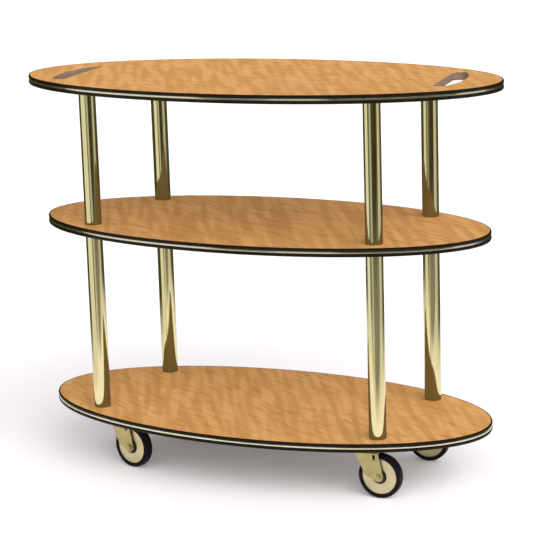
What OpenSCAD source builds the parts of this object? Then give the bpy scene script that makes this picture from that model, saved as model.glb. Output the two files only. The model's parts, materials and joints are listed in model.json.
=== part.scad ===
// Three oval shelves on four brass tube legs, rolling on swivel casters.
// The floor is z = 0, the cart's length runs along X and its depth along Y.

/* [Shelves] */
// Half length of the top board, inside its edge moulding
top_half_l = 568; // [520:1:640]
// Half depth of the top board, inside its edge moulding
top_half_d = 306; // [270:1:350]
// Half length of the two lower boards
low_half_l = 540; // [500:1:600]
// Half depth of the two lower boards
low_half_d = 270; // [240:1:320]
// Thickness of the particle board in each shelf
core_t = 16.6; // [15:0.2:24]
// Thickness of the wood-grain laminate on top
laminate_t = 1.2; // [0.8:0.1:2]
// Thickness of the plain sheet underneath
backer_t = 1.2; // [0.8:0.1:2]

/* [Hand holes] */
// Distance of each hole's straight side from the middle of the cart
hole_x = 428; // [415:1:440]
// Distance of the holes off the long centre line, the two in opposite directions
hole_y = 39; // [0:1:50]
// Turn of the straight side away from square
hole_turn = 10; // [0:1:15]
// Length from tip to tip
hole_l = 252; // [220:2:280]
// Width at the middle of the curved side
hole_depth = 52; // [46:1:58]
// Radius of the two rounded tips
hole_tip_r = 16; // [8:1:18]

/* [Edge moulding] */
// How far the ribs stand out from the board's edge
rib_out = 4; // [3:0.5:7]
// Crown of each rib across its face
rib_crown = 1.5; // [0.8:0.1:2.2]
// Height of the groove between the two ribs
groove_h = 3.8; // [3:0.2:6]
// Depth of the groove below the ribs' shoulders
groove_d = 0.9; // [0.5:0.1:1.2]
// Thickness of the bright strip pressed into the groove
strip_t = 1.35; // [0.6:0.05:1.6]
// Length of the barbed tongue that goes into the board
tongue_l = 8; // [5:0.5:12]
// Thickness of the tongue
tongue_t = 1.8; // [1.2:0.1:2.4]

/* [Legs] */
// Distance of each leg from the middle, along the cart
leg_x = 348; // [320:1:360]
// Distance of each leg from the middle, across the cart
leg_y = 160; // [145:1:170]
// Outside diameter of the leg tubes
tube_d = 38.1; // [30:0.1:42]
// Wall of the leg tubes
tube_wall = 1.5; // [1:0.1:2.5]
// Height of the bay between the bottom and middle shelves
lower_bay_h = 411.5; // [350:0.5:450]
// Height of the bay between the middle and top shelves
upper_bay_h = 310; // [250:1:350]
// Diameter of the threaded rod that ties each leg together
rod_d = 8; // [6:1:9]
// Height of the plug in each tube end
plug_h = 12; // [8:1:20]
// Outside diameter of the threaded insert in the top board
insert_d = 11; // [10.5:0.5:13]
// Height of the threaded insert
insert_h = 12; // [9:0.5:14]
// Outside diameter of the washer under each leg
washer_d = 17; // [15:0.5:20]
// Thickness of that washer
washer_t = 1.6; // [1:0.1:2.2]
// Width across the flats of the nut under each leg
nut_flats = 13; // [13:0.5:14.5]
// Height of that nut
nut_h = 5.5; // [4:0.5:6]

/* [Wheels] */
// Diameter of the tyre
wheel_d = 100; // [85:1:110]
// Width of the tyre
tyre_w = 23; // [21:1:28]
// Height of the tyre's side wall, from the rim to the tread
tyre_h = 9.4; // [7:0.2:12]
// Radius of the tyre's shoulders
tyre_round = 4.5; // [3:0.5:6]
// Width of the wheel's rim
rim_w = 18; // [17:1:20]
// Height of the rim under the tyre
rim_h = 6.5; // [4:0.5:9]
// Width of the web between rim and hub
web_w = 8; // [5:1:9]
// Outside diameter of the hub
hub_d = 24; // [20:1:28]
// Thickness of the brass cover discs
disc_t = 1.2; // [0.8:0.1:2]
// Diameter of the opening in each cover disc
disc_hole_d = 33; // [30:1:40]
// Depth of the rolled lip round that opening
disc_lip = 4; // [2:0.5:4.5]

/* [Casters] */
// Distance of the axle behind the swivel pin
trail = 35; // [32:1:44]
// Distance of each swivel pin inside its leg, across the cart
pin_inset_y = 20; // [12:1:24]
// Width of the mounting plate along the cart
plate_w = 50; // [46:1:54]
// Length of the mounting plate across the cart
plate_l = 62; // [58:1:72]
// Thickness of the mounting plate
plate_t = 2.5; // [2:0.1:4]
// Radius of the mounting plate's corners
plate_r = 5; // [2:0.5:8]
// Diameter of the mounting screws
screw_d = 4; // [3:0.5:5]
// Length of the mounting screws below their heads
screw_l = 14; // [10:0.5:16]
// Diameter of the swivel pin
pin_d = 10; // [8:0.5:12]
// Diameter of the swivel balls
ball_d = 5; // [4:0.5:5.5]
// Number of balls in each swivel
ball_count = 10; // [6:1:12]
// Radius of the circle that the balls run on
race_r = 12.5; // [12:0.5:13.5]
// Outside diameter of the two race cups
cup_d = 34; // [33:0.5:38]
// Height of the race cup on the fork
fork_cup_h = 6; // [5:0.5:8]
// Height of the race cup on the mounting plate
plate_cup_h = 5.5; // [5:0.5:8]
// Turn of the front left caster about its swivel pin
front_left_turn = -13; // [-40:1:40]

/* [Forks] */
// Thickness of the pressed fork
fork_t = 2.5; // [2:0.1:3.2]
// Gap between the tyre and each fork arm
fork_side_gap = 2; // [1.5:0.1:4]
// Gap between the tyre and the fork's crown
crown_gap = 3.5; // [2.5:0.1:6]
// Radius of the bend between crown and arms
fork_bend_r = 5; // [4:0.5:7]
// Length of the crown ahead of the swivel pin
fork_front = 22; // [19:0.5:26]
// Distance of the arm's lower front corner from the axle
arm_corner_x = 26; // [20:1:30]
// Height of that corner above the axle
arm_corner_z = 8; // [2:1:14]
// Radius of that corner
arm_corner_r = 7; // [4:0.5:9]
// Radius of the arm's end round the axle
arm_end_r = 11; // [10:0.5:14]
// Width of the slot in each arm
slot_w = 6; // [3:0.2:7]
// Length of the slot in each arm
slot_l = 11.5; // [7:0.5:12]
// Distance of the slot ahead of the axle
slot_x = 9.9; // [8:0.1:14]
// Height of the slot above the axle
slot_z = 44; // [38:1:45]
// Lean of the slot along the arm's rear edge
slot_lean = 12; // [0:1:20]
// Diameter of the axle bolt
axle_d = 8; // [6:0.5:9]
// Wall of the bushing that the wheel turns on
bush_wall = 1.45; // [1:0.05:2]
// Diameter of the axle bolt's head
bolt_head_d = 14.6; // [12:0.2:17]
// Height of the axle bolt's head
bolt_head_h = 4; // [3:0.5:6]
// Width across the flats of the axle nut
axle_nut_flats = 12.6; // [12:0.2:15]
// Height of the axle nut
axle_nut_h = 4; // [3.5:0.5:8]

/* [Fits] */
// Radial clearance of a turning fit
turn_gap = 0.05; // [0.02:0.01:0.09]
// Radial clearance of a part that is pushed or screwed home
seat_gap = 0.05; // [0.02:0.01:0.1]
// Radial clearance of a rod or plug that slides through
slide_gap = 0.2; // [0.1:0.05:0.4]
// Gap between faces that turn past each other
face_gap = 0.5; // [0.3:0.05:0.9]
// Gap between the board's edge and the moulding behind its ribs
moulding_gap = 0.6; // [0.6:0.05:0.9]
// Spare depth of the slot behind the moulding's tongue
kerf_spare = 1.5; // [1.3:0.1:3]

/* [Hidden] */
$fn = 96;
moulding_steps = 72;
rib_points = 5;

// Heights, from the floor up
axle_z = wheel_d / 2;
crown_z = wheel_d + crown_gap;
fork_top_z = crown_z + fork_t;
cup_top_z = fork_top_z + fork_cup_h;
race_gap = ball_d / 2;
race_z = cup_top_z + race_gap / 2;
plate_cup_z = cup_top_z + race_gap;
plate_z = plate_cup_z + plate_cup_h;
shelf_t = backer_t + core_t + laminate_t;
bottom_z = plate_z + plate_t;
middle_z = bottom_z + shelf_t + lower_bay_h;
top_z = middle_z + shelf_t + upper_bay_h;

// Curved side of the hand holes, an arc that runs into both rounded tips
hole_tip_y = hole_l / 2 - hole_tip_r;
hole_r = (pow(hole_tip_y, 2) / (hole_depth - 2 * hole_tip_r) + hole_depth) / 2;

// Leg fastenings
tube_r = tube_d / 2;
bore_r = tube_r - tube_wall;
rod_r = rod_d / 2;
rod_hole_r = rod_r + slide_gap;
insert_hole_r = insert_d / 2 + seat_gap;
insert_spare = 0.5;
rod_tail = 1.2;
nut_z = bottom_z - washer_t - nut_h;

// Caster places: each swivel pin lies inboard of its leg's washer
washer_gap = 4.5;
pin_x = leg_x - plate_w / 2 - washer_d / 2 - washer_gap;
pin_y = leg_y - pin_inset_y;
CORNERS = [
    ["front_left", -1, -1, front_left_turn],
    ["front_right", 1, -1, 0],
    ["back_left", -1, 1, 0],
    ["back_right", 1, 1, 0]
];

// Wheel and fork, across the tyre
rim_r = wheel_d / 2 - tyre_h;
fork_half = tyre_w / 2 + fork_side_gap;
fork_out = fork_half + fork_t;
hub_half = fork_half - face_gap;
bush_r = axle_d / 2 + turn_gap + bush_wall;
screw_edge = 6;
screw_x = plate_w / 2 - screw_edge;
screw_y = plate_l / 2 - screw_edge;
screw_head_r = screw_d * 1.05;
screw_head_h = screw_d * 0.6;
pin_head_r = pin_d * 0.8;
pin_head_h = 3;

brass = [0.82, 0.76, 0.48];
steel = [0.72, 0.73, 0.75];
wood = [0.82, 0.60, 0.36];
board = [0.70, 0.58, 0.42];
black = [0.09, 0.09, 0.10];

// Shapes used by several pieces

// Slab whose outline is an ellipse
module oval(half_l, half_d, z, h) {
    intersection() {
        translate([0, 0, z - 1]) linear_extrude(height = h + 2) scale([half_l / half_d, 1]) circle(r = half_d);
        translate([-half_l - 1, -half_d - 1, z]) cube([2 * half_l + 2, 2 * half_d + 2, h]);
    }
}

// Ring with a wall between two radii
module ring(r_out, r_in, z, h) {
    translate([0, 0, z]) difference() {
        cylinder(r = r_out, h = h);
        translate([0, 0, -1]) cylinder(r = r_in, h = h + 2);
    }
}

// Rectangle with true arcs at its corners
module round_rect(w, h, r) {
    square([w - 2 * r, h], center = true);
    square([w, h - 2 * r], center = true);
    for (x = [-1, 1], y = [-1, 1]) translate([x * (w / 2 - r), y * (h / 2 - r)]) circle(r = r);
}

// Ends of the straight lines of a belt round circles [x, y, r], taken counter-clockwise
function belt(c) = [
    for (i = [0 : len(c) - 1])
    let (
        a = c[i],
        b = c[(i + 1) % len(c)],
        d = [b[0] - a[0], b[1] - a[1]],
        t = atan2(d[1], d[0]) - acos((a[2] - b[2]) / norm(d))
    )
    each [
        [a[0] + a[2] * cos(t), a[1] + a[2] * sin(t)],
        [b[0] + b[2] * cos(t), b[1] + b[2] * sin(t)]
    ]
];

// Stands its children at the four legs
module at_legs() {
    for (c = CORNERS) translate([c[1] * leg_x, c[2] * leg_y, 0]) children();
}

// Stands its children at one swivel pin, square to the cart
module at_pin(c) {
    translate([c[1] * pin_x, c[2] * pin_y, 0]) children();
}

// Turns its children with one caster; inside, the axle lies towards +X
module at_fork(c) {
    at_pin(c) rotate([0, 0, c[3]]) children();
}

// Lays its children on one axle, so that their Z runs along it to the back
module at_axle(c) {
    at_fork(c) translate([trail, 0, axle_z]) rotate([-90, 0, 0]) children();
}

// Shelves

// D with a straight side on Y and its curve towards +X, rounded at both tips. The curve meets each tip on
// the line from its own centre through the tip's.
module d_outline() {
    sink = hole_r - hole_depth;
    run = sink + hole_tip_r;
    far = 1.5;
    near = 0.2;
    intersection() {
        translate([-sink, 0]) circle(r = hole_r);
        polygon([
            [0, -hole_tip_y], [hole_tip_r, -hole_tip_y], [far * run - sink, -far * hole_tip_y],
            [far * run - sink, far * hole_tip_y], [hole_tip_r, hole_tip_y], [0, hole_tip_y]
        ]);
    }
    for (s = [-1, 1]) translate([hole_tip_r, s * hole_tip_y]) intersection() {
        circle(r = hole_tip_r);
        polygon([
            [0, 0], [near * run, s * near * hole_tip_y], [near * run, s * hole_tip_y],
            [-near * run, s * hole_tip_y], [-near * run, 0]
        ]);
    }
}

// The two hand holes, cut right through the top shelf
module hand_holes() {
    for (end = [0, 180]) rotate([0, 0, end]) translate([hole_x, hole_y, top_z - 1])
        rotate([0, 0, hole_turn]) linear_extrude(height = shelf_t + 2) d_outline();
}

// Slot round a board's edge for the moulding's tongue
module kerf(half_l, half_d, z) {
    deep = tongue_l + kerf_spare;
    high = tongue_t + 2 * slide_gap;
    z0 = z + (shelf_t - high) / 2;
    difference() {
        oval(half_l + 1, half_d + 1, z0, high);
        oval(half_l - deep, half_d - deep, z0 - 1, high + 2);
    }
}

// Screw pilots in the bottom board
module screw_holes() {
    for (c = CORNERS) at_pin(c) for (x = [-1, 1], y = [-1, 1])
        translate([x * screw_x, y * screw_y, bottom_z - 1])
            cylinder(r = screw_d / 2 + seat_gap, h = screw_l - plate_t + 2);
}

module top_core() {
    color(board) difference() {
        oval(top_half_l, top_half_d, top_z + backer_t, core_t);
        kerf(top_half_l, top_half_d, top_z);
        at_legs() translate([0, 0, top_z - 1]) cylinder(r = insert_hole_r, h = insert_h + insert_spare + 1);
        hand_holes();
    }
}

module low_core(z) {
    color(board) difference() {
        oval(low_half_l, low_half_d, z + backer_t, core_t);
        kerf(low_half_l, low_half_d, z);
        at_legs() translate([0, 0, z - 1]) cylinder(r = rod_hole_r, h = shelf_t + 2);
        if (z == bottom_z) screw_holes();
    }
}

module top_laminate() {
    color(wood) difference() {
        oval(top_half_l, top_half_d, top_z + shelf_t - laminate_t, laminate_t);
        hand_holes();
    }
}

module low_laminate(z) {
    color(wood) difference() {
        oval(low_half_l, low_half_d, z + shelf_t - laminate_t, laminate_t);
        at_legs() translate([0, 0, z - 1]) cylinder(r = rod_hole_r, h = shelf_t + 2);
    }
}

module backers() {
    color(board) {
        difference() {
            oval(top_half_l, top_half_d, top_z, backer_t);
            at_legs() translate([0, 0, top_z - 1]) cylinder(r = insert_hole_r, h = backer_t + 2);
            hand_holes();
        }
        for (z = [middle_z, bottom_z]) difference() {
            oval(low_half_l, low_half_d, z, backer_t);
            at_legs() translate([0, 0, z - 1]) cylinder(r = rod_hole_r, h = backer_t + 2);
            if (z == bottom_z) screw_holes();
        }
    }
}

// Point on a rib's crowned face: u runs from 0 at its lower shoulder to 1 at its upper one
function rib_point(z0, h, u) =
    let (
        r = (h * h / 4 + rib_crown * rib_crown) / (2 * rib_crown),
        a = asin(h / 2 / r) * (2 * u - 1)
    )
    [rib_out - r + r * cos(a), z0 + h / 2 + r * sin(a)];

// Section of the moulding as [distance out from the board's edge, height above the shelf's underside]
function moulding_section() =
    let (
        h = (shelf_t - groove_h) / 2,
        floor_x = rib_out - rib_crown - groove_d,
        tongue_z = (shelf_t - tongue_t) / 2,
        n = rib_points - 1
    )
    concat(
        [[moulding_gap, 0]],
        [for (i = [0 : n]) rib_point(0, h, i / n)],
        [[floor_x, h], [floor_x, h + groove_h]],
        [for (i = [0 : n]) rib_point(h + groove_h, h, i / n)],
        [[moulding_gap, shelf_t], [moulding_gap, shelf_t - tongue_z], [-tongue_l, shelf_t - tongue_z],
         [-tongue_l, tongue_z], [moulding_gap, tongue_z]]
    );

// Carries a section round an ellipse, square to its edge
module sweep_oval(half_l, half_d, z, section) {
    n = len(section);
    ring_points = [
        for (k = [0 : moulding_steps - 1])
        let (
            t = 360 * k / moulding_steps,
            out = [half_d * cos(t), half_l * sin(t)] / norm([half_d * cos(t), half_l * sin(t)])
        )
        for (p = section)
        [half_l * cos(t) + p[0] * out[0], half_d * sin(t) + p[0] * out[1], z + p[1]]
    ];
    faces = [
        for (k = [0 : moulding_steps - 1], i = [0 : n - 1])
        let (
            m = (k + 1) % moulding_steps,
            j = (i + 1) % n
        )
        each [[k * n + i, k * n + j, m * n + j], [k * n + i, m * n + j, m * n + i]]
    ];
    polyhedron(points = ring_points, faces = faces);
}

module moulding(half_l, half_d, z) {
    color(black) sweep_oval(half_l, half_d, z, moulding_section());
}

// Bright strip seated in the groove of one moulding
module strip(half_l, half_d, z) {
    seat = rib_out - rib_crown - groove_d + seat_gap;
    low = (shelf_t - groove_h) / 2 + seat_gap;
    high = low + groove_h - 2 * seat_gap;
    sweep_oval(half_l, half_d, z,
        [[seat, low], [seat + strip_t, low], [seat + strip_t, high], [seat, high]]);
}

module strips() {
    color(brass) {
        strip(top_half_l, top_half_d, top_z);
        strip(low_half_l, low_half_d, middle_z);
        strip(low_half_l, low_half_d, bottom_z);
    }
}

// Legs

module tube(c, z, h) {
    color(brass) translate([c[1] * leg_x, c[2] * leg_y, 0]) ring(tube_r, bore_r, z, h);
}

module plugs() {
    color(black) at_legs() {
        for (bay = [[bottom_z + shelf_t, lower_bay_h], [middle_z + shelf_t, upper_bay_h]]) {
            ring(bore_r - slide_gap / 2, rod_hole_r, bay[0], plug_h);
            ring(bore_r - slide_gap / 2, rod_hole_r, bay[0] + bay[1] - plug_h, plug_h);
        }
    }
}

module rods() {
    z0 = nut_z - rod_tail;
    z1 = top_z + insert_h - insert_spare;
    color(steel) at_legs() translate([0, 0, z0]) cylinder(r = rod_r, h = z1 - z0);
}

module inserts() {
    color(brass) at_legs() ring(insert_d / 2, rod_r + seat_gap, top_z, insert_h);
}

module washers() {
    color(steel) at_legs() ring(washer_d / 2, rod_hole_r, bottom_z - washer_t, washer_t);
}

// Hexagon nut standing on z
module hex_nut(flats, bore, z, h) {
    translate([0, 0, z]) difference() {
        cylinder(r = flats / 2 / cos(30), h = h, $fn = 6);
        translate([0, 0, -1]) cylinder(r = bore, h = h + 2);
    }
}

module nuts() {
    color(steel) at_legs() hex_nut(nut_flats, rod_r + seat_gap, nut_z, nut_h);
}

// Casters

// Half section of a race cup, with the balls' groove cut into it
module cup_section(z, h, bore) {
    difference() {
        translate([bore, z]) square([cup_d / 2 - bore, h]);
        translate([race_r, race_z]) circle(r = ball_d / 2 + 2 * seat_gap);
    }
}

module caster_plate(c) {
    color(brass) at_pin(c) difference() {
        union() {
            translate([0, 0, plate_z]) linear_extrude(height = plate_t) round_rect(plate_w, plate_l, plate_r);
            rotate_extrude() cup_section(plate_cup_z, plate_cup_h, pin_d / 2 + seat_gap);
        }
        translate([0, 0, plate_z - 1]) cylinder(r = pin_d / 2 + seat_gap, h = plate_t + 2);
        for (x = [-1, 1], y = [-1, 1]) translate([x * screw_x, y * screw_y, plate_z - 1])
            cylinder(r = screw_d / 2 + slide_gap, h = plate_t + 2);
    }
}

// Pan head screw with a pointed end
module screw() {
    point = screw_d;
    translate([0, 0, -screw_head_h]) cylinder(r1 = screw_head_r * 0.8, r2 = screw_head_r, h = screw_head_h);
    cylinder(r = screw_d / 2, h = screw_l - point);
    translate([0, 0, screw_l - point]) cylinder(r1 = screw_d / 2, r2 = 0.3, h = point - 0.5);
}

module screws() {
    color(steel) for (c = CORNERS) at_pin(c) for (x = [-1, 1], y = [-1, 1])
        translate([x * screw_x, y * screw_y, plate_z]) screw();
}

// Rivet that the fork swivels on, fast in the mounting plate
module pins() {
    head_z = crown_z - face_gap;
    color(steel) for (c = CORNERS) at_pin(c) {
        translate([0, 0, head_z]) cylinder(r = pin_d / 2, h = bottom_z - head_z);
        translate([0, 0, head_z - pin_head_h]) cylinder(r1 = pin_head_r * 0.7, r2 = pin_head_r, h = pin_head_h);
    }
}

module balls() {
    color(steel) for (c = CORNERS) at_pin(c) for (i = [0 : ball_count - 1])
        rotate([0, 0, 360 * i / ball_count]) translate([race_r, 0, race_z]) sphere(d = ball_d);
}

// Fork arm seen from its side, from the crown down to the axle at [trail, axle_z]
module arm_outline() {
    circles = [
        [trail, axle_z, arm_end_r],
        [trail, fork_top_z, 0],
        [-fork_front, fork_top_z, 0],
        [trail - arm_corner_x, axle_z + arm_corner_z, arm_corner_r]
    ];
    polygon(belt(circles));
    for (c = circles) if (c[2] > 0) translate([c[0], c[1]]) circle(r = c[2]);
}

// Channel across the fork: flat crown, two bends and two arms
module channel_section() {
    low = axle_z - 2 * arm_end_r;
    h = fork_top_z - low;
    difference() {
        translate([0, low + h / 2]) channel_outline(2 * fork_out, h, fork_bend_r);
        translate([0, low + (h - fork_t) / 2 - 1])
            channel_outline(2 * fork_half, h - fork_t + 2, fork_bend_r - fork_t);
    }
}

// Rectangle rounded at its two upper corners only
module channel_outline(w, h, r) {
    translate([-w / 2, -h / 2]) square([w, h - r]);
    translate([-w / 2 + r, h / 2 - r]) square([w - 2 * r, r]);
    for (x = [-1, 1]) translate([x * (w / 2 - r), h / 2 - r]) circle(r = r);
}

module fork(c) {
    color(brass) at_fork(c) difference() {
        union() {
            intersection() {
                rotate([90, 0, 0]) translate([0, 0, -fork_out - 1])
                    linear_extrude(height = 2 * fork_out + 2) arm_outline();
                rotate([90, 0, 90]) translate([0, 0, -fork_front - 1])
                    linear_extrude(height = fork_front + trail + arm_end_r + 2) channel_section();
            }
            rotate_extrude() cup_section(fork_top_z, fork_cup_h, pin_d / 2 + turn_gap);
        }
        translate([0, 0, crown_z - 1]) cylinder(r = pin_d / 2 + turn_gap, h = fork_t + 2);
        translate([trail, 0, axle_z]) rotate([90, 0, 0])
            cylinder(r = axle_d / 2 + seat_gap, h = 2 * fork_out + 2, center = true);
        translate([trail - slot_x, 0, axle_z + slot_z]) rotate([0, -slot_lean, 0])
            cube([slot_w, 2 * fork_out + 2, slot_l], center = true);
    }
}

module axle_bolt(c) {
    end = fork_out + axle_nut_h + 1;
    color(brass) at_axle(c) {
        translate([0, 0, -end]) cylinder(r = axle_d / 2, h = end + fork_out);
        translate([0, 0, fork_out])
            cylinder(r1 = bolt_head_d / 2, r2 = bolt_head_d / 2 * 0.75, h = bolt_head_h);
    }
}

module axle_nut(c) {
    color(brass) at_axle(c)
        hex_nut(axle_nut_flats, axle_d / 2 + seat_gap, -fork_out - axle_nut_h, axle_nut_h);
}

module bushing(c) {
    color(steel) at_axle(c)
        ring(bush_r, axle_d / 2 + turn_gap, -fork_half + seat_gap, 2 * (fork_half - seat_gap));
}

// Moulded wheel centre: rim, web and hub turned in one
module wheel_core(c) {
    color(black) at_axle(c) rotate_extrude() {
        translate([rim_r - seat_gap - rim_h, -rim_w / 2]) square([rim_h, rim_w]);
        translate([hub_d / 2 - 1, -web_w / 2]) square([rim_r - seat_gap - hub_d / 2, web_w]);
        translate([bush_r + turn_gap, -hub_half]) square([hub_d / 2 - bush_r - turn_gap, 2 * hub_half]);
    }
}

// Section of the cover disc on the +Z side: flat face, turned edge and rolled lip
module disc_section() {
    face = rim_w / 2;
    r_in = disc_hole_d / 2;
    polygon([
        [rim_r - 2 * seat_gap, face], [rim_r - 2 * seat_gap, face + disc_t / 2],
        [rim_r - disc_t, face + disc_t], [r_in + disc_t / 2, face + disc_t], [r_in, face + disc_t / 2],
        [r_in, face - disc_lip], [r_in + disc_t, face - disc_lip], [r_in + disc_t, face]
    ]);
}

module wheel_discs(c) {
    color(brass) at_axle(c) {
        rotate_extrude() disc_section();
        mirror([0, 0, 1]) rotate_extrude() disc_section();
    }
}

// Tyre with rounded shoulders, open where it seats on the rim
module tyre(c) {
    blank = 3 * tyre_h;
    color(black) at_axle(c) rotate_extrude() difference() {
        translate([(wheel_d - blank) / 2, 0]) round_rect(blank, tyre_w, tyre_round);
        translate([0, -tyre_w]) square([rim_r, 2 * tyre_w]);
    }
}

// The pieces

top_core();  // top_shelf_core
low_core(middle_z);  // middle_shelf_core
low_core(bottom_z);  // bottom_shelf_core
top_laminate();  // top_shelf_laminate
low_laminate(middle_z);  // middle_shelf_laminate
low_laminate(bottom_z);  // bottom_shelf_laminate
moulding(top_half_l, top_half_d, top_z);  // top_shelf_moulding
moulding(low_half_l, low_half_d, middle_z);  // middle_shelf_moulding
moulding(low_half_l, low_half_d, bottom_z);  // bottom_shelf_moulding
backers();  // shelf_backers
strips();  // moulding_strips
plugs();  // tube_plugs
rods();  // tie_rods
inserts();  // threaded_inserts
washers();  // rod_washers
nuts();  // rod_nuts
screws();  // caster_screws
pins();  // swivel_pins
balls();  // swivel_balls
for (c = CORNERS) {
    tube(c, middle_z + shelf_t, upper_bay_h);
    tube(c, bottom_z + shelf_t, lower_bay_h);
    caster_plate(c);
    fork(c);
    axle_bolt(c);
    axle_nut(c);
    bushing(c);
    wheel_core(c);
    wheel_discs(c);
    tyre(c);
}
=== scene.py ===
# %% [markdown]
# # A serving cart with three oval shelves
#
# The cart is three oval boards on four brass tube legs, rolling on swivel casters. The construction model
# gives every piece at its real size; this file gives each one the surface that you would see and touch.
# Round things are worked out as whole numpy arrays: a profile turned round an axle, or a section carried
# round an oval. Everything is in metres, with the floor at z = 0, the cart's length along X and its back
# at +Y.

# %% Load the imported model
import json
import math

import bpy
import numpy as np
from mathutils import Euler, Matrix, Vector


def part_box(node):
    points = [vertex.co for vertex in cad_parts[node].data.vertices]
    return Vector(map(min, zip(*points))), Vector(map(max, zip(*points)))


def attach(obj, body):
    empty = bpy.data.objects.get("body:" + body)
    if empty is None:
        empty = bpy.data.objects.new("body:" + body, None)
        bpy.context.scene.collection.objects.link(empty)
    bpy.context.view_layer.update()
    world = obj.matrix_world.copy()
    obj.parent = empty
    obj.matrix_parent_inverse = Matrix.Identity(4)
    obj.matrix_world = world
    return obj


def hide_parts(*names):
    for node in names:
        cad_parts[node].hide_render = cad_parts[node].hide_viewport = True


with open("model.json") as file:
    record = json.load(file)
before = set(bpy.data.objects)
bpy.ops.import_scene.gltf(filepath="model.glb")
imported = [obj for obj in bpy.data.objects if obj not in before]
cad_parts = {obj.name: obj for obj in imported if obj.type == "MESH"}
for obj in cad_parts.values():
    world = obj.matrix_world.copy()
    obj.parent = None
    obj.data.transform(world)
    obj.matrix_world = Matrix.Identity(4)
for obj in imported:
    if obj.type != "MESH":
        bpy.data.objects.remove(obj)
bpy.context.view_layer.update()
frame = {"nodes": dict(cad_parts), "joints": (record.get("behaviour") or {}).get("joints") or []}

MM = 0.001
SHELVES = ("top", "middle", "bottom")
CORNERS = ("front_left", "front_right", "back_left", "back_right")

# %% [markdown]
# ## Camera
#
# The cart was photographed from the front right, from a little above the top shelf, through a long lens.
# The three turns are Blender's own Euler angles: 90 degrees looks level, less looks down, and the second
# one is the slight roll that makes the legs lean.

# %% Camera
CAMERA_PLACE = (1.99886, -3.90376, 1.43466)
CAMERA_TURN = (77.1055, 1.6790, 26.2392)
LENS_MM = 126.56
SENSOR_MM = 36.0

camera = bpy.data.objects.new("camera", bpy.data.cameras.new("camera"))
camera.location = CAMERA_PLACE
camera.rotation_euler = Euler([math.radians(turn) for turn in CAMERA_TURN])
camera.data.lens = LENS_MM
camera.data.sensor_width = SENSOR_MM
bpy.context.scene.collection.objects.link(camera)
bpy.context.scene.camera = camera
bpy.context.scene.view_settings.view_transform = "Standard"
camera_azimuth = math.degrees(math.atan2(CAMERA_PLACE[1], CAMERA_PLACE[0]))
print(f"camera {math.hypot(*CAMERA_PLACE[:2]):.2f} m away, seen from azimuth {camera_azimuth:.1f} degrees")

# %% [markdown]
# ## Making node trees short
#
# A material or the world is a small graph of nodes. One helper adds a node and fills its sockets, with
# either a plain value or another node's output, so that each finish below reads from top to bottom.

# %% Node helpers
def add(tree, kind, inputs=None, **settings):
    """Adds a node; `inputs` holds a value or another node's output for each named or numbered input."""
    node = tree.nodes.new(kind)
    for name, value in settings.items():
        setattr(node, name, value)
    for name, value in (inputs or {}).items():
        if isinstance(value, bpy.types.NodeSocket):
            tree.links.new(value, node.inputs[name])
        else:
            node.inputs[name].default_value = value
    return node


def math_node(tree, operation, a, b=0.0):
    """One sum: `operation` on a, and on b where the operation takes a second number."""
    return add(tree, "ShaderNodeMath", {0: a, 1: b}, operation=operation).outputs[0]


def step_node(tree, value, start, end):
    """0 below `start`, 1 above `end`, and a smooth ramp between them."""
    return add(tree, "ShaderNodeMapRange", {"Value": value, "From Min": start, "From Max": end},
               interpolation_type="SMOOTHSTEP").outputs[0]


def inverse(tree, value):
    """1 - value."""
    return math_node(tree, "SUBTRACT", 1.0, value)


def mix_colour(tree, share, first, second):
    """The first colour where share is 0, the second where it is 1."""
    return add(tree, "ShaderNodeMix", {0: share, 6: first, 7: second}, data_type="RGBA").outputs[2]


def show(tree, shader, kind="ShaderNodeOutputMaterial"):
    """Makes a shader node the surface of its material, or of the world."""
    tree.links.new(shader.outputs[0], add(tree, kind).inputs["Surface"])

# %% [markdown]
# ## The studio
#
# Polished brass has almost no look of its own: it shows the room. The studio therefore has two jobs. For
# matt surfaces it is a plain soft light: an even glow from all round, low enough to reach in between the
# shelves, and a very large soft box at the front right, which pushes the floor shadow back and to the left.
# For mirror rays it is a dim room with a white ceiling, in which a few white cards stand. The camera itself
# sees white.

# %% World
WHITE = (1.0, 1.0, 1.0, 1.0)
GLOW = 1.10
GLOW_TOP = (50.0, 56.0)
BOX_LIGHT = 4.00
BOX_AZIMUTH = -37.0
BOX_HEIGHT = 12.0
BOX_EDGE = (17.0, 67.0)
ROOM_LIGHT = 0.07
ROOM_COLOUR = (1.00, 0.92, 0.40, 1.0)
# Azimuths between which the walls dim by the share ROOM_DIP, stay dim and brighten again
ROOM_DARK = (-62.0, -52.0, -26.0, -16.0)
ROOM_DIP = 0.5
CEILING = (32.0, 42.0)


def soft_box(tree, way):
    """Round light that fades with the angle from its middle, the arc cosine of both directions' product."""
    azimuth, height = math.radians(BOX_AZIMUTH), math.radians(BOX_HEIGHT)
    level = math.cos(height)
    middle = (level * math.cos(azimuth), level * math.sin(azimuth), math.sin(height))
    product = add(tree, "ShaderNodeVectorMath", {0: way, 1: middle}, operation="DOT_PRODUCT")
    angle = math_node(tree, "DEGREES", math_node(tree, "ARCCOSINE", product.outputs["Value"]))
    return math_node(tree, "MULTIPLY", inverse(tree, step_node(tree, angle, *BOX_EDGE)), BOX_LIGHT)


def mirror_room(tree, azimuth, height):
    """Strength and colour for mirror rays: dim olive walls, dimmer at the camera, and a white ceiling."""
    rise = step_node(tree, azimuth, *ROOM_DARK[:2])
    fall = step_node(tree, azimuth, *ROOM_DARK[2:])
    dark = math_node(tree, "MULTIPLY", math_node(tree, "SUBTRACT", rise, fall), ROOM_DIP)
    walls = math_node(tree, "MULTIPLY", inverse(tree, dark), ROOM_LIGHT)
    ceiling = step_node(tree, height, *CEILING)
    return math_node(tree, "MAXIMUM", walls, ceiling), mix_colour(tree, ceiling, ROOM_COLOUR, WHITE)


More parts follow.
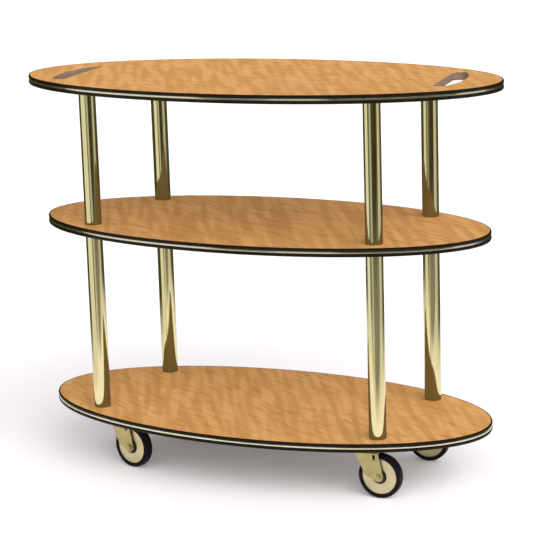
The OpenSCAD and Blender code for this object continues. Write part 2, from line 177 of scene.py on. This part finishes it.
def build_world():
    """Azimuth and height of a ray come from its direction: atan2(y, x) and asin(z), both in degrees."""
    world = bpy.data.worlds.new("studio")
    bpy.context.scene.world = world
    world.use_nodes = True
    tree = world.node_tree
    tree.nodes.clear()
    way = add(tree, "ShaderNodeTexCoord").outputs["Generated"]
    split = add(tree, "ShaderNodeSeparateXYZ", {0: way})
    azimuth = math_node(tree, "DEGREES", math_node(tree, "ARCTAN2", split.outputs["Y"], split.outputs["X"]))
    height = math_node(tree, "DEGREES", math_node(tree, "ARCSINE", split.outputs["Z"]))
    mirror, mirror_colour = mirror_room(tree, azimuth, height)
    glow = math_node(tree, "MULTIPLY", inverse(tree, step_node(tree, height, *GLOW_TOP)), GLOW)
    soft = math_node(tree, "ADD", glow, soft_box(tree, way))
    ray = add(tree, "ShaderNodeLightPath")
    glossy = ray.outputs["Is Glossy Ray"]
    seen = math_node(tree, "MAXIMUM", ray.outputs["Is Camera Ray"], ray.outputs["Is Transmission Ray"])
    light = math_node(tree, "ADD", math_node(tree, "MULTIPLY", soft, inverse(tree, glossy)),
                      math_node(tree, "MULTIPLY", mirror, glossy))
    level = math_node(tree, "ADD", math_node(tree, "MULTIPLY", light, inverse(tree, seen)), seen)
    colour = mix_colour(tree, glossy, WHITE, mirror_colour)
    show(tree, add(tree, "ShaderNodeBackground", {"Color": colour, "Strength": level}),
         "ShaderNodeOutputWorld")


build_world()
print("soft light of", BOX_LIGHT, "from azimuth", BOX_AZIMUTH, "over a glow of", GLOW)

# %% [markdown]
# ## Sheets of the studio
#
# Cards, the painted dark reflection sheets and the floor are each one flat face with a small material of
# its own. They belong to the studio and not to the cart.

# %% Sheets
def lay_sheet(name, corners):
    """One flat face with an empty material. Returns the object and the material's nodes."""
    mesh = bpy.data.meshes.new(name)
    mesh.from_pydata(corners, [], [tuple(range(len(corners)))])
    sheet = bpy.data.objects.new(name, mesh)
    bpy.context.scene.collection.objects.link(sheet)
    material = bpy.data.materials.new(name)
    material.use_nodes = True
    material.node_tree.nodes.clear()
    mesh.materials.append(material)
    return sheet, material.node_tree


def keep_for_mirrors(item):
    """Hides a sheet from every ray but mirror rays. No light is aimed from it."""
    for kind in ("camera", "diffuse", "transmission", "volume_scatter", "shadow"):
        setattr(item, f"visible_{kind}", False)
    item.data.materials[0].cycles.emission_sampling = "NONE"

# %% [markdown]
# ## White cards
#
# A photographer stands white cards round polished metal, each for one long highlight. Their places on the
# floor plan were found by tracing rays back from the stripes on the four legs: the same card lands at a
# different place round each tube, and that fixes how far away it stands. Only mirror rays see them.

# %% Cards
CARD_LOW = -0.8
CARD_HIGH = 1.6
CARDS = {
    "left": ((-1.00, -0.40), (-0.42, -1.16), 0.89),
    "left_behind": ((-0.50, -1.55), (-0.07, -1.95), 0.20),
    "front": ((-0.07, -1.95), (0.52, -1.55), 0.55),
    "right": ((1.85, -0.27), (1.85, 0.80), 0.66),
    "right_behind": ((1.85, 0.80), (1.85, 1.60), 0.20),
}


def build_card(name, start, end, level):
    """Upright white rectangle over the line from start to end, glowing at `level` for mirror rays alone."""
    corners = [(*start, CARD_LOW), (*end, CARD_LOW), (*end, CARD_HIGH), (*start, CARD_HIGH)]
    card, tree = lay_sheet(f"card_{name}", corners)
    show(tree, add(tree, "ShaderNodeEmission", {"Color": WHITE, "Strength": level}))
    keep_for_mirrors(card)


for name, (start, end, level) in CARDS.items():
    build_card(name, start, end, level)
print(len(CARDS), "cards stand round the cart")

# %% [markdown]
# ## Painted dark reflections on the lower shelves
#
# The tubes' feet are given a painted dark reflection, although they stand on bright wood. A dark oval sheet,
# like the flag a photographer uses to keep bright things out of polished metal, lies just above each of the
# two lower shelves. Only mirror rays that come down on it meet it, and it lets a little of the wood through.

# %% Painted dark reflections
# Painted dark reflection: its colour, and the share of the wood that shows through it, for mirror rays alone
PAINTED_REFLECTION_COLOUR = (0.085, 0.073, 0.043, 1.0)
PAINTED_REFLECTION_CLEAR = 0.21
PAINTED_REFLECTION_LIFT = 0.5 * MM
PAINTED_REFLECTION_STEPS = 120


def build_painted_reflection_sheet(shelf):
    """Oval sheet over a laminate: x = a cos t, y = b sin t. Its face is up, and its back is clear."""
    _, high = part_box(f"{shelf}_shelf_laminate")
    t = np.linspace(0, 2 * np.pi, PAINTED_REFLECTION_STEPS, endpoint=False)
    rim = [high.x * np.cos(t), high.y * np.sin(t), np.full(PAINTED_REFLECTION_STEPS, high.z + PAINTED_REFLECTION_LIFT)]
    painted_reflection_sheet, tree = lay_sheet(f"flag_{shelf}", np.stack(rim, axis=-1).tolist())
    behind = add(tree, "ShaderNodeNewGeometry").outputs["Backfacing"]
    # The painted dark reflection: a dark glow that only mirror rays meet, which darkens the wood's
    # reflection in the tubes' feet
    dark = add(tree, "ShaderNodeEmission", {"Color": PAINTED_REFLECTION_COLOUR, "Strength": 1.0})
    clear = add(tree, "ShaderNodeBsdfTransparent")
    share = math_node(tree, "MAXIMUM", behind, PAINTED_REFLECTION_CLEAR)
    show(tree, add(tree, "ShaderNodeMixShader", {0: share, 1: dark.outputs[0], 2: clear.outputs[0]}))
    keep_for_mirrors(painted_reflection_sheet)


for shelf in SHELVES[1:]:
    build_painted_reflection_sheet(shelf)
print("painted_reflection_sheets laid on the", " and ".join(SHELVES[1:]), "shelves")

# %% [markdown]
# ## Floor
#
# The floor is a plain pale sheet that holds the cart's soft shadow, and is white where no shadow falls. In
# the tubes it is seen only near the cart: further out, mirror rays pass through it and meet the cards or the
# dim room, as they would past the edge of a studio's paper roll.

# %% Floor
FLOOR_HALF = 9.0
FLOOR_COLOUR = (0.975, 0.945, 0.965, 1.0)
# Towards the camera it clears between the first two distances, all but FLOOR_DIM, which clears by the third
FLOOR_FRONT = (0.80, 1.30, 4.00)
FLOOR_DIM = 0.22
# At the sides and the back it clears over FLOOR_ROUND from the middle, which fades out over FLOOR_BESIDE
FLOOR_ROUND = (0.90, 1.80)
FLOOR_BESIDE = (0.60, 1.20)


def build_floor():
    """One square sheet at z = 0, clear for mirror rays far towards the camera and far out all round.

    How far a point lies towards the camera is its product with the camera's level direction."""
    corners = FLOOR_HALF * np.array([[-1, -1, 0], [1, -1, 0], [1, 1, 0], [-1, 1, 0]], float)
    floor, tree = lay_sheet("floor", corners.tolist())
    paint = add(tree, "ShaderNodeBsdfDiffuse", {"Color": FLOOR_COLOUR})
    ray = add(tree, "ShaderNodeLightPath")
    place = add(tree, "ShaderNodeTexCoord").outputs["Object"]
    ahead = [length / math.hypot(*CAMERA_PLACE[:2]) for length in CAMERA_PLACE[:2]]
    product = add(tree, "ShaderNodeVectorMath", {0: place, 1: (*ahead, 0.0)}, operation="DOT_PRODUCT")
    front = product.outputs["Value"]
    out = add(tree, "ShaderNodeVectorMath", {0: place}, operation="LENGTH").outputs["Value"]
    near = math_node(tree, "MULTIPLY", step_node(tree, front, *FLOOR_FRONT[:2]), 1.0 - FLOOR_DIM)
    rest = math_node(tree, "MULTIPLY", step_node(tree, front, *FLOOR_FRONT[1:]), FLOOR_DIM)
    beside = inverse(tree, step_node(tree, front, *FLOOR_BESIDE))
    side_far = math_node(tree, "MULTIPLY", step_node(tree, out, *FLOOR_ROUND), beside)
    far = math_node(tree, "MAXIMUM", math_node(tree, "ADD", near, rest), side_far)
    share = math_node(tree, "MULTIPLY", ray.outputs["Is Glossy Ray"], far)
    clear = add(tree, "ShaderNodeBsdfTransparent")
    show(tree, add(tree, "ShaderNodeMixShader", {0: share, 1: paint.outputs[0], 2: clear.outputs[0]}))


build_floor()
print("floor laid,", 2 * FLOOR_HALF, "m square")

# %% [markdown]
# ## Finishes: how a surface is described
#
# Each finish starts from one Principled shader. What is the same all over, such as how metallic it is, is a
# plain number on its socket. What varies, such as grain, is a pattern on Object coordinates, which are
# metres on the cart itself, so a pattern's scale is a real size: a scale of 400 gives cells 2.5 mm wide.

# %% Helpers for finishes
def new_finish(name, colour, roughness, **sockets):
    """Material with one Principled shader. Returns it with its tree, the shader and Object coordinates."""
    material = bpy.data.materials.new(name)
    material.use_nodes = True
    tree = material.node_tree
    tree.nodes.clear()
    shader = add(tree, "ShaderNodeBsdfPrincipled", {"Base Color": (*colour, 1.0), "Roughness": roughness})
    for socket, value in sockets.items():
        shader.inputs[socket.replace("_", " ")].default_value = value
    show(tree, shader)
    material.diffuse_color = (*colour, 1.0)
    return material, tree, shader, add(tree, "ShaderNodeTexCoord").outputs["Object"]


def stretched(tree, place, scale, turn=0.0):
    """Coordinates turned about Z by `turn` degrees and then scaled along each axis."""
    rotation = (0.0, 0.0, math.radians(turn))
    turned = add(tree, "ShaderNodeMapping", {"Vector": place, "Rotation": rotation})
    return add(tree, "ShaderNodeMapping", {"Vector": turned.outputs[0], "Scale": scale}).outputs[0]


def noise(tree, place, scale=1.0, detail=3.0, rough=0.5):
    """Soft cloudy pattern between 0 and 1, mostly near the middle."""
    return add(tree, "ShaderNodeTexNoise", {"Vector": place, "Scale": scale, "Detail": detail,
                                            "Roughness": rough}).outputs["Fac"]


def spread(tree, value, low, high, start=0.3, end=0.7):
    """Maps a pattern's start..end onto low..high, and holds it there outside."""
    return add(tree, "ShaderNodeMapRange", {"Value": value, "From Min": start, "From Max": end,
                                            "To Min": low, "To Max": high}).outputs[0]


def bump(tree, shader, height, depth, strength=1.0):
    """Tilts the surface as if `height`, from 0 to 1, stood up by `depth` metres."""
    node = add(tree, "ShaderNodeBump", {"Height": height, "Distance": depth, "Strength": strength})
    tree.links.new(node.outputs[0], shader.inputs["Normal"])


def tinted(tree, shader, colour, share, darker):
    """Base colour that goes from `colour` towards `darker` times it where share is 1."""
    deep = tuple(c * d for c, d in zip(colour, darker))
    tree.links.new(mix_colour(tree, share, (*colour, 1.0), (*deep, 1.0)), shader.inputs["Base Color"])

# %% [markdown]
# ## Wood-grain laminate
#
# The shelf tops are a printed decorative laminate, a warm amber cherry. Four patterns make it, each laid
# over the one before: soft darker bars about 35 mm apart, which lie across the grain like the curl in real
# timber, a slow cloud, short dark dashes of grain, and very fine pores that show only from near by. The
# sheet is hard and almost matt.

# %% Laminate
WOOD_LIGHT = (0.675, 0.350, 0.122)
WOOD_MID = (0.535, 0.258, 0.077)
WOOD_DARK = (0.360, 0.155, 0.040)
FIGURE_TURN = -31.0
GRAIN_TURN = 29.0
# For each pattern: how far it is squeezed along X and Y, its turn, its detail and its roughness, then its
# least and greatest share and where in the noise these lie, and its colour
LAMINATE_LAYERS = {
    "bars": ((58.0, 5.0, 1.0), FIGURE_TURN, 0.0, 0.5, (0.05, 0.90, 0.38, 0.64), WOOD_MID),
    "cloud": ((7.0, 11.0, 1.0), GRAIN_TURN, 3.0, 0.5, (0.0, 0.35, 0.45, 0.75), WOOD_MID),
    "dashes": ((14.0, 85.0, 1.0), GRAIN_TURN, 3.0, 0.6, (0.0, 0.68, 0.50, 0.76), WOOD_DARK),
    "pores": ((60.0, 900.0, 1.0), GRAIN_TURN, 2.0, 0.5, (0.0, 0.30, 0.55, 0.75), WOOD_DARK),
}


def laminate_finish():
    """Bars and grain are noise squeezed across, and drawn out along, two directions."""
    material, tree, shader, place = new_finish("wood_laminate", WOOD_MID, 0.50, Specular_IOR_Level=0.03)
    base = (*WOOD_LIGHT, 1.0)
    patterns = {}
    for layer, (squeeze, turn, detail, rough, shares, colour) in LAMINATE_LAYERS.items():
        patterns[layer] = noise(tree, stretched(tree, place, squeeze, turn), detail=detail, rough=rough)
        base = mix_colour(tree, spread(tree, patterns[layer], *shares), base, (*colour, 1.0))
    tree.links.new(base, shader.inputs["Base Color"])
    tree.links.new(spread(tree, patterns["dashes"], 0.46, 0.56), shader.inputs["Roughness"])
    bump(tree, shader, patterns["pores"], 0.04 * MM, 0.5)
    return material


laminate = laminate_finish()
print("laminate figure lies", -FIGURE_TURN, "degrees off the cart's length")

# %% [markdown]
# ## Particle board and backing sheet
#
# Under the laminate is particle board, seen only in the walls of the hand holes: chips of many sizes in a
# grey-brown glue. The underside has a plain brown backing sheet that keeps the board flat.

# %% Board and backer
BOARD_COLOUR = (0.255, 0.178, 0.112)
BOARD_CHIPS = (260.0, 260.0, 700.0)
BOARD_GRAIN = 900.0
BACKER_COLOUR = (0.15, 0.11, 0.08)
BACKER_CLOUD = 30.0
BACKER_GRAIN = 1500.0


def board_finish():
    """Chips are a cell pattern, each cell with its own brightness, over a finer cloud."""
    material, tree, shader, place = new_finish("particle_board", BOARD_COLOUR, 0.85)
    chips = add(tree, "ShaderNodeTexVoronoi", {"Vector": stretched(tree, place, BOARD_CHIPS),
                                               "Scale": 1.0}).outputs["Color"]
    shade = add(tree, "ShaderNodeSeparateColor", {0: chips}).outputs[0]
    tinted(tree, shader, BOARD_COLOUR, shade, (0.45, 0.42, 0.40))
    bump(tree, shader, noise(tree, place, BOARD_GRAIN), 0.3 * MM)
    return material


def backer_finish():
    """Kraft paper under clear resin: a faint cloud and a fine pebbled skin."""
    material, tree, shader, place = new_finish("backer_sheet", BACKER_COLOUR, 0.55)
    tinted(tree, shader, BACKER_COLOUR, noise(tree, place, BACKER_CLOUD), (0.78, 0.76, 0.74))
    bump(tree, shader, noise(tree, place, BACKER_GRAIN, 1.0), 0.05 * MM)
    return material


board = board_finish()
backer = backer_finish()
print("board and backer mixed")

# %% [markdown]
# ## Brass
#
# The legs are steel tube with a bright brass plate. A mirror finish needs very little: a pale yellow metal,
# a trace of haze, and faint draw lines along the tube that break the edges of the reflections. The casters
# have the same plate over bead-blasted steel, which turns it satin and a little greener, and their cover
# discs are lighter.

# %% Brass finishes
TUBE_BRASS = (0.790, 0.720, 0.400)
CASTER_BRASS = (0.480, 0.415, 0.190)
DISC_BRASS = (0.640, 0.570, 0.355)
DRAW_LINES = (1400.0, 1400.0, 6.0)
TUBE_HAZE = 14.0
SATIN_CLOUD = 55.0
SATIN_GRAIN = 2600.0


def tube_finish():
    """Draw lines are noise squeezed round the tube and drawn out along Z; haze is a slow cloud."""
    material, tree, shader, place = new_finish("brass_tube", TUBE_BRASS, 0.07, Metallic=1.0)
    lines = noise(tree, stretched(tree, place, DRAW_LINES), detail=2.0)
    haze = noise(tree, place, TUBE_HAZE, 4.0)
    tinted(tree, shader, TUBE_BRASS, spread(tree, haze, 0.0, 1.0), (0.95, 0.92, 0.84))
    tree.links.new(spread(tree, haze, 0.05, 0.09), shader.inputs["Roughness"])
    bump(tree, shader, lines, 0.004 * MM)
    return material


def satin_finish(name, colour, roughness):
    """Blasted and plated steel: a fine pebbled skin with a slow cloud of colour and haze."""
    material, tree, shader, place = new_finish(name, colour, roughness, Metallic=1.0)
    cloud = noise(tree, place, SATIN_CLOUD, 4.0)
    tinted(tree, shader, colour, spread(tree, cloud, 0.0, 1.0), (0.86, 0.84, 0.76))
    tree.links.new(spread(tree, cloud, roughness - 0.05, roughness + 0.06), shader.inputs["Roughness"])
    bump(tree, shader, noise(tree, place, SATIN_GRAIN, 2.0), 0.03 * MM, 0.6)
    return material


brass_tube = tube_finish()
brass_caster = satin_finish("brass_caster", CASTER_BRASS, 0.42)
brass_disc = satin_finish("brass_disc", DISC_BRASS, 0.40)
print("three brass finishes ready")

# %% [markdown]
# ## Vinyl, rubber, plastic and steel
#
# The edge moulding is glossy black vinyl with a bright metallised strip in its groove. The tyres are black
# rubber with a violet cast, slightly scuffed on the tread. Inside are black plastic and zinc-plated steel.

# %% Dark finishes and steel
VINYL_COLOUR = (0.005, 0.004, 0.002)
STRIP_COLOUR = (0.780, 0.720, 0.540)
RUBBER_COLOUR = (0.006, 0.004, 0.006)
PLASTIC_COLOUR = (0.018, 0.016, 0.015)
ZINC_COLOUR = (0.560, 0.570, 0.590)
STEEL_COLOUR = (0.640, 0.640, 0.640)
MOULDED_CLOUD = 40.0


def moulded_finish(name, colour, roughness, grain, depth, shine):
    """Moulded or extruded dark surface: a fine grain, `depth` deep, with a slow change of gloss."""
    material, tree, shader, place = new_finish(name, colour, roughness, Specular_IOR_Level=shine)
    cloud = noise(tree, place, MOULDED_CLOUD, 4.0)
    tinted(tree, shader, colour, spread(tree, cloud, 0.0, 1.0), (1.5, 1.5, 1.5))
    tree.links.new(spread(tree, cloud, roughness - 0.05, roughness + 0.07), shader.inputs["Roughness"])
    bump(tree, shader, noise(tree, place, grain, 2.0), depth, 0.6)
    return material


black_vinyl = moulded_finish("black_vinyl", VINYL_COLOUR, 0.20, 900.0, 0.02 * MM, 0.10)
tyre_rubber = moulded_finish("tyre_rubber", RUBBER_COLOUR, 0.26, 1500.0, 0.04 * MM, 0.03)
black_plastic = moulded_finish("black_plastic", PLASTIC_COLOUR, 0.45, 1800.0, 0.03 * MM, 0.25)
bright_strip = satin_finish("bright_strip", STRIP_COLOUR, 0.16)
zinc_steel = satin_finish("zinc_steel", ZINC_COLOUR, 0.34)
bright_steel = satin_finish("bright_steel", STEEL_COLOUR, 0.18)
print("dark finishes and steel ready")

# %% [markdown]
# ## Surfaces from grids
#
# Nearly every piece of the cart is a closed section carried along a closed path, which makes a grid that
# joins up both ways, like a ring doughnut. One helper turns such a grid of points into a mesh. It measures
# the volume that the skin encloses, and turns the faces over if that comes out negative, so they always
# point outwards.

# %% Grid to mesh
SHARP_ANGLE = math.radians(32.0)


def enclosed_volume(points, quads):
    """Sum over the quads of the volume between each and the origin, a . (b x c) / 6 for each half of it."""
    a, b, c, d = (points[quads[:, k]] for k in range(4))
    return float(np.sum(a * np.cross(b, c)) + np.sum(a * np.cross(c, d))) / 6


def grid_piece(name, grids, body, finish, replaces):
    """Piece made of one or more grids of points, each rows x columns x 3 and closed both ways.

    Corner (i, j) of a quad joins to (i, j + 1), (i + 1, j + 1) and (i + 1, j), and the last row and column
    join to the first."""
    all_points, all_quads, start = [], [], 0
    for grid in grids:
        rows, columns = grid.shape[:2]
        i, j = np.meshgrid(np.arange(rows), np.arange(columns), indexing="ij")
        i_next, j_next = (i + 1) % rows, (j + 1) % columns
        quads = np.stack([i * columns + j, i * columns + j_next,
                          i_next * columns + j_next, i_next * columns + j], axis=-1).reshape(-1, 4)
        points = grid.reshape(-1, 3)
        if enclosed_volume(points - points.mean(0), quads) < 0:
            quads = quads[:, ::-1]
        all_points.append(points)
        all_quads.append(quads + start)
        start += len(points)
    points, quads = np.concatenate(all_points), np.concatenate(all_quads)
    mesh = bpy.data.meshes.new(name)
    mesh.vertices.add(len(points))
    mesh.vertices.foreach_set("co", points.astype(np.float32).ravel())
    mesh.loops.add(quads.size)
    mesh.loops.foreach_set("vertex_index", quads.astype(np.int32).ravel())
    mesh.polygons.add(len(quads))
    mesh.polygons.foreach_set("loop_start", np.arange(0, quads.size, 4, dtype=np.int32))
    mesh.update(calc_edges=True)
    mesh.shade_smooth()
    mesh.set_sharp_from_angle(angle=SHARP_ANGLE)
    mesh.materials.append(finish)
    piece = bpy.data.objects.new(name, mesh)
    bpy.context.scene.collection.objects.link(piece)
    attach(piece, body)
    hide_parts(*replaces)


def rounded(corners, radii, steps=5):
    """Closed outline with each corner replaced by an arc.

    The arc of radius r starts and ends r / tan(half the corner's angle) away from it, and is drawn as the
    circle that touches both sides."""
    corners = np.asarray(corners, float)
    outline = []
    for k, radius in enumerate(radii):
        corner = corners[k]
        before, after = corners[k - 1] - corner, corners[(k + 1) % len(corners)] - corner
        before, after = before / np.linalg.norm(before), after / np.linalg.norm(after)
        half = math.acos(np.clip(before @ after, -1, 1)) / 2
        middle = (before + after) / np.linalg.norm(before + after)
        centre = corner + middle * radius / math.sin(half)
        start = corner + before * radius / math.tan(half) - centre
        end = corner + after * radius / math.tan(half) - centre
        turn = math.atan2(start[0] * end[1] - start[1] * end[0], start @ end)
        angle = np.linspace(0, turn, steps + 1)[:, None]
        outline.append(centre + start * np.cos(angle) + np.array([-start[1], start[0]]) * np.sin(angle))
    return np.concatenate(outline)

# %% [markdown]
# ## Edge moulding
#
# Each shelf is edged with an extruded vinyl moulding: two crowned ribs with a groove between them, and
# behind them a tongue that is pressed into a slot round the board. It could be a bevelled curve, but a
# curve's section turns with its path in ways that are hard to foresee. Here the section is given as distance
# out and height, and each point of it is carried round the oval along the oval's own outward direction, so
# the ribs keep their size all the way round.

# %% Edge mouldings
RIB_OUT = 4.0 * MM
RIB_CROWN = 1.5 * MM
GROOVE_H = 3.8 * MM
GROOVE_D = 0.9 * MM
TONGUE_L = 8.0 * MM
TONGUE_T = 1.8 * MM
LIP = 0.2 * MM
OVAL_STEPS = 360


def round_oval(half_l, half_d, section, z):
    """Section points (distance out, height) carried round an ellipse.

    At angle t the edge is (a cos t, b sin t). Its outward direction is (b cos t, a sin t), made one long."""
    t = np.linspace(0, 2 * np.pi, OVAL_STEPS, endpoint=False)
    edge = np.stack([half_l * np.cos(t), half_d * np.sin(t)], axis=-1)
    out = np.stack([half_d * np.cos(t), half_l * np.sin(t)], axis=-1)
    out /= np.linalg.norm(out, axis=-1, keepdims=True)
    grid = np.empty((OVAL_STEPS, len(section), 3))
    grid[..., :2] = edge[:, None] + out[:, None] * section[None, :, :1]
    grid[..., 2] = z + section[None, :, 1]
    return grid


def rib(z, height, points=9):
    """Crowned face of one rib: an arc whose middle stands RIB_CROWN further out than its shoulders.

    An arc of height h and crown c has the radius (h h / 4 + c c) / 2 c."""
    radius = (height ** 2 / 4 + RIB_CROWN ** 2) / (2 * RIB_CROWN)
    reach = math.asin(height / 2 / radius)
    angle = np.linspace(-reach, reach, points)
    out = RIB_OUT - radius + radius * np.cos(angle)
    return np.stack([out, z + height / 2 + radius * np.sin(angle)], axis=-1)


def moulding_section(thick):
    """Ribs, groove, back and tongue, as (distance out from the board's edge, height above its underside)."""
    height = (thick - GROOVE_H) / 2
    floor = RIB_OUT - RIB_CROWN - GROOVE_D
    low, high = (thick - TONGUE_T) / 2, (thick + TONGUE_T) / 2
    back = -LIP
    return np.concatenate([
        [[back, LIP]], rib(0, height), [[floor, height], [floor, height + GROOVE_H]],
        rib(height + GROOVE_H, height), [[back, thick - LIP], [back, high], [-TONGUE_L, high],
                                         [-TONGUE_L, low], [back, low]]])


def shelf_oval(shelf):
    """Half length and half depth of a board, and the heights of its underside and its top."""
    _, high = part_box(f"{shelf}_shelf_core")
    bottom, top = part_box(f"{shelf}_shelf_moulding")
    return high.x, high.y, bottom.z, top.z


for shelf in SHELVES:
    half_l, half_d, under, over = shelf_oval(shelf)
    ring = round_oval(half_l, half_d, moulding_section(over - under), under)
    grid_piece(f"{shelf}_moulding", [ring], "frame", black_vinyl, [f"{shelf}_shelf_moulding"])
    print(shelf, "moulding", ring.shape[0] * ring.shape[1], "points")

# %% [markdown]
# ## Bright strip
#
# A thin bright strip is pressed into the groove between the ribs. Its face is very slightly crowned, which
# is what makes its reflections slide along the shelf edge instead of flashing all at once.

# %% Bright strips
STRIP_T = 1.35 * MM
STRIP_CROWN = 0.25 * MM
STRIP_GAP = 0.05 * MM


def strip_section(thick, points=7):
    """Flat back in the groove and a face that is an arch: crown times (1 - u squared), u from -1 to 1."""
    back = RIB_OUT - RIB_CROWN - GROOVE_D + STRIP_GAP
    low = (thick - GROOVE_H) / 2 + STRIP_GAP
    high = (thick + GROOVE_H) / 2 - STRIP_GAP
    u = np.linspace(-1, 1, points)
    out = back + STRIP_T - STRIP_CROWN * u ** 2
    face = np.stack([out, (low + high) / 2 + u * (high - low) / 2], axis=-1)
    return np.concatenate([[[back, low]], face, [[back, high]]])


for shelf in SHELVES:
    half_l, half_d, under, over = shelf_oval(shelf)
    strip = round_oval(half_l, half_d, strip_section(over - under), under)
    grid_piece(f"{shelf}_strip", [strip], "frame", bright_strip, ["moulding_strips"])
print(len(SHELVES), "bright strips pressed in")

# %% [markdown]
# ## Leg tubes
#
# Each leg is two lengths of tube, one below the middle shelf and one above it. A tube is a profile turned
# round its own axis. It has many steps round, because a mirror finish shows every flat, and its ends are
# broken by a small chamfer, as a cut tube's are.

# %% Tubes
TUBE_WALL = 1.5 * MM
TUBE_BREAK = 0.35 * MM
TUBE_STEPS = 144


def revolve(profile, steps):
    """Closed profile of (distance from the axis, height) turned round Z: x = r cos a, y = r sin a, z = h."""
    a = np.linspace(0, 2 * np.pi, steps, endpoint=False)[:, None]
    r, h = profile[None, :, 0], profile[None, :, 1]
    return np.stack([r * np.cos(a), r * np.sin(a), h + 0 * a], axis=-1)


def tube_profile(radius, low, high, rings=6):
    """Outer wall from bottom to top in a few rings, then down the bore, with a chamfer at each outer end."""
    edge = TUBE_BREAK
    z = np.linspace(low.z + edge, high.z - edge, rings)
    outer = np.stack([np.full(rings, radius), z], axis=-1)
    bore = radius - TUBE_WALL
    return np.concatenate([[[bore, low.z], [radius - edge, low.z]], outer,
                           [[radius - edge, high.z], [bore, high.z]]])


for corner in CORNERS:
    for part in ("upper", "lower"):
        node = f"{part}_tube_{corner}"
        low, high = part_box(node)
        middle = (low + high) / 2
        tube = revolve(tube_profile((high.x - low.x) / 2, low, high), TUBE_STEPS)
        tube[..., 0] += middle.x
        tube[..., 1] += middle.y
        grid_piece(f"{part}_leg_{corner}", [tube], "frame", brass_tube, [node])
print("8 tubes,", TUBE_STEPS, "steps round each")

# %% [markdown]
# ## Wheels
#
# A wheel turns on its axle, so its pieces are profiles turned round that axle. The axle's place and its
# direction come from the rolling joint, so that a caster that is swung aside carries its wheel with it. The
# tyre is a low rubber band with round shoulders and a slightly crowned tread. The cover disc is a pressed
# plate with a rolled rim, a gently domed face and a rolled lip round the hub.

# %% Tyres and cover discs
WHEEL_STEPS = 120
TYRE_SHOULDER = 4.5 * MM
TREAD_CROWN = 0.6 * MM
TREAD_R = 60 * MM
SIDE_BREAK = 0.6 * MM
TYRE_SEAT = 0.05 * MM
DISC_T = 1.2 * MM
DISC_HOLE_R = 16.5 * MM
DISC_LIP = 4.0 * MM
DISC_DOME = 0.5 * MM


def on_axle(grid, corner):
    """Turns a grid made round Z so that Z lies along the wheel's axle, and moves it to the axle's place."""
    joint = next(j for j in frame["joints"] if j["name"] == f"wheel_{corner}_roll")
    axle = np.array(joint["axis"], float)
    down = np.array([0.0, 0.0, -1.0])
    ahead = np.cross(down, axle)
    return grid @ np.stack([ahead, down, axle]) + np.array(joint["pos_m"])


def tyre_profile(outer, rim, half):
    """Side, shoulder, crowned tread, shoulder and side, as (radius, distance along the axle)."""
    crown = outer - TREAD_CROWN
    corners = [[rim, -half], [crown, -half], [outer, 0], [crown, half], [rim, half]]
    return rounded(corners, [SIDE_BREAK, TYRE_SHOULDER, TREAD_R, TYRE_SHOULDER, SIDE_BREAK], steps=8)


def disc_profile(rim, outside, points=9):
    """Plate with a rolled outer edge, a face that rises by DISC_DOME, and a lip turned in round the hub."""
    face = outside - DISC_T
    u = np.linspace(0, 1, points)
    swell = DISC_DOME * np.sin(np.pi * u) ** 2
    radius = rim - DISC_T - u * (rim - DISC_HOLE_R - 2 * DISC_T)
    top = np.stack([radius, outside - DISC_DOME + swell], axis=-1)
    lip = rounded([[DISC_HOLE_R, outside - DISC_DOME], [DISC_HOLE_R, face - DISC_LIP],
                   [DISC_HOLE_R + DISC_T, face - DISC_LIP], [DISC_HOLE_R + DISC_T, face - DISC_DOME]],
                  [DISC_T * 0.9, DISC_T * 0.3, DISC_T * 0.3, DISC_T * 0.2])
    return np.concatenate([[[rim, face - DISC_DOME], [rim, outside - 2 * DISC_DOME]], top, lip])


def radius_and_half(node):
    """Radius and half width of a round piece whose axle lies square to the cart, from its box."""
    low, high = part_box(node)
    return (high.z - low.z) / 2, (high.y - low.y) / 2


outer, tyre_half = radius_and_half("tyre_front_right")
disc_rim, disc_half = radius_and_half("wheel_discs_front_right")
tyre_rim = radius_and_half("wheel_core_front_right")[0] + TYRE_SEAT
for corner in CORNERS:
    wheel = f"wheel_{corner}"
    tyre = on_axle(revolve(tyre_profile(outer, tyre_rim, tyre_half), WHEEL_STEPS), corner)
    grid_piece(f"{corner}_tyre", [tyre], wheel, tyre_rubber, [f"tyre_{corner}"])
    plate = revolve(disc_profile(disc_rim, disc_half), WHEEL_STEPS)
    discs = [on_axle(plate * (1, 1, side), corner) for side in (1, -1)]
    grid_piece(f"{corner}_cover_discs", discs, wheel, brass_disc, [f"wheel_discs_{corner}"])
print("tyres and cover discs for", len(CORNERS), "wheels")

# %% [markdown]
# ## Pieces that keep their construction shape
#
# The boards, plates, fasteners and forks are already right as built, so they only get a finish. A new
# material leaves their shape alone.

# %% Finishes for the other pieces
def dress(finish, *nodes):
    """Gives construction nodes one finish."""
    for node in nodes:
        mesh = frame["nodes"][node].data
        mesh.materials.clear()
        mesh.materials.append(finish)


dress(laminate, *[f"{shelf}_shelf_laminate" for shelf in SHELVES])
dress(board, *[f"{shelf}_shelf_core" for shelf in SHELVES])
dress(backer, "shelf_backers")
dress(black_plastic, "tube_plugs", *[f"wheel_core_{corner}" for corner in CORNERS])
dress(brass_caster, *[f"{part}_{corner}" for corner in CORNERS
                      for part in ("caster_plate", "caster_fork", "axle_nut", "axle_bolt")])
dress(brass_tube, "threaded_inserts")
dress(zinc_steel, "tie_rods", "rod_washers", "rod_nuts", "caster_screws", "swivel_pins",
      *[f"wheel_bushing_{corner}" for corner in CORNERS])
dress(bright_steel, "swivel_balls")
print("finishes given to", sum(not node.hide_render for node in frame["nodes"].values()), "shown nodes")
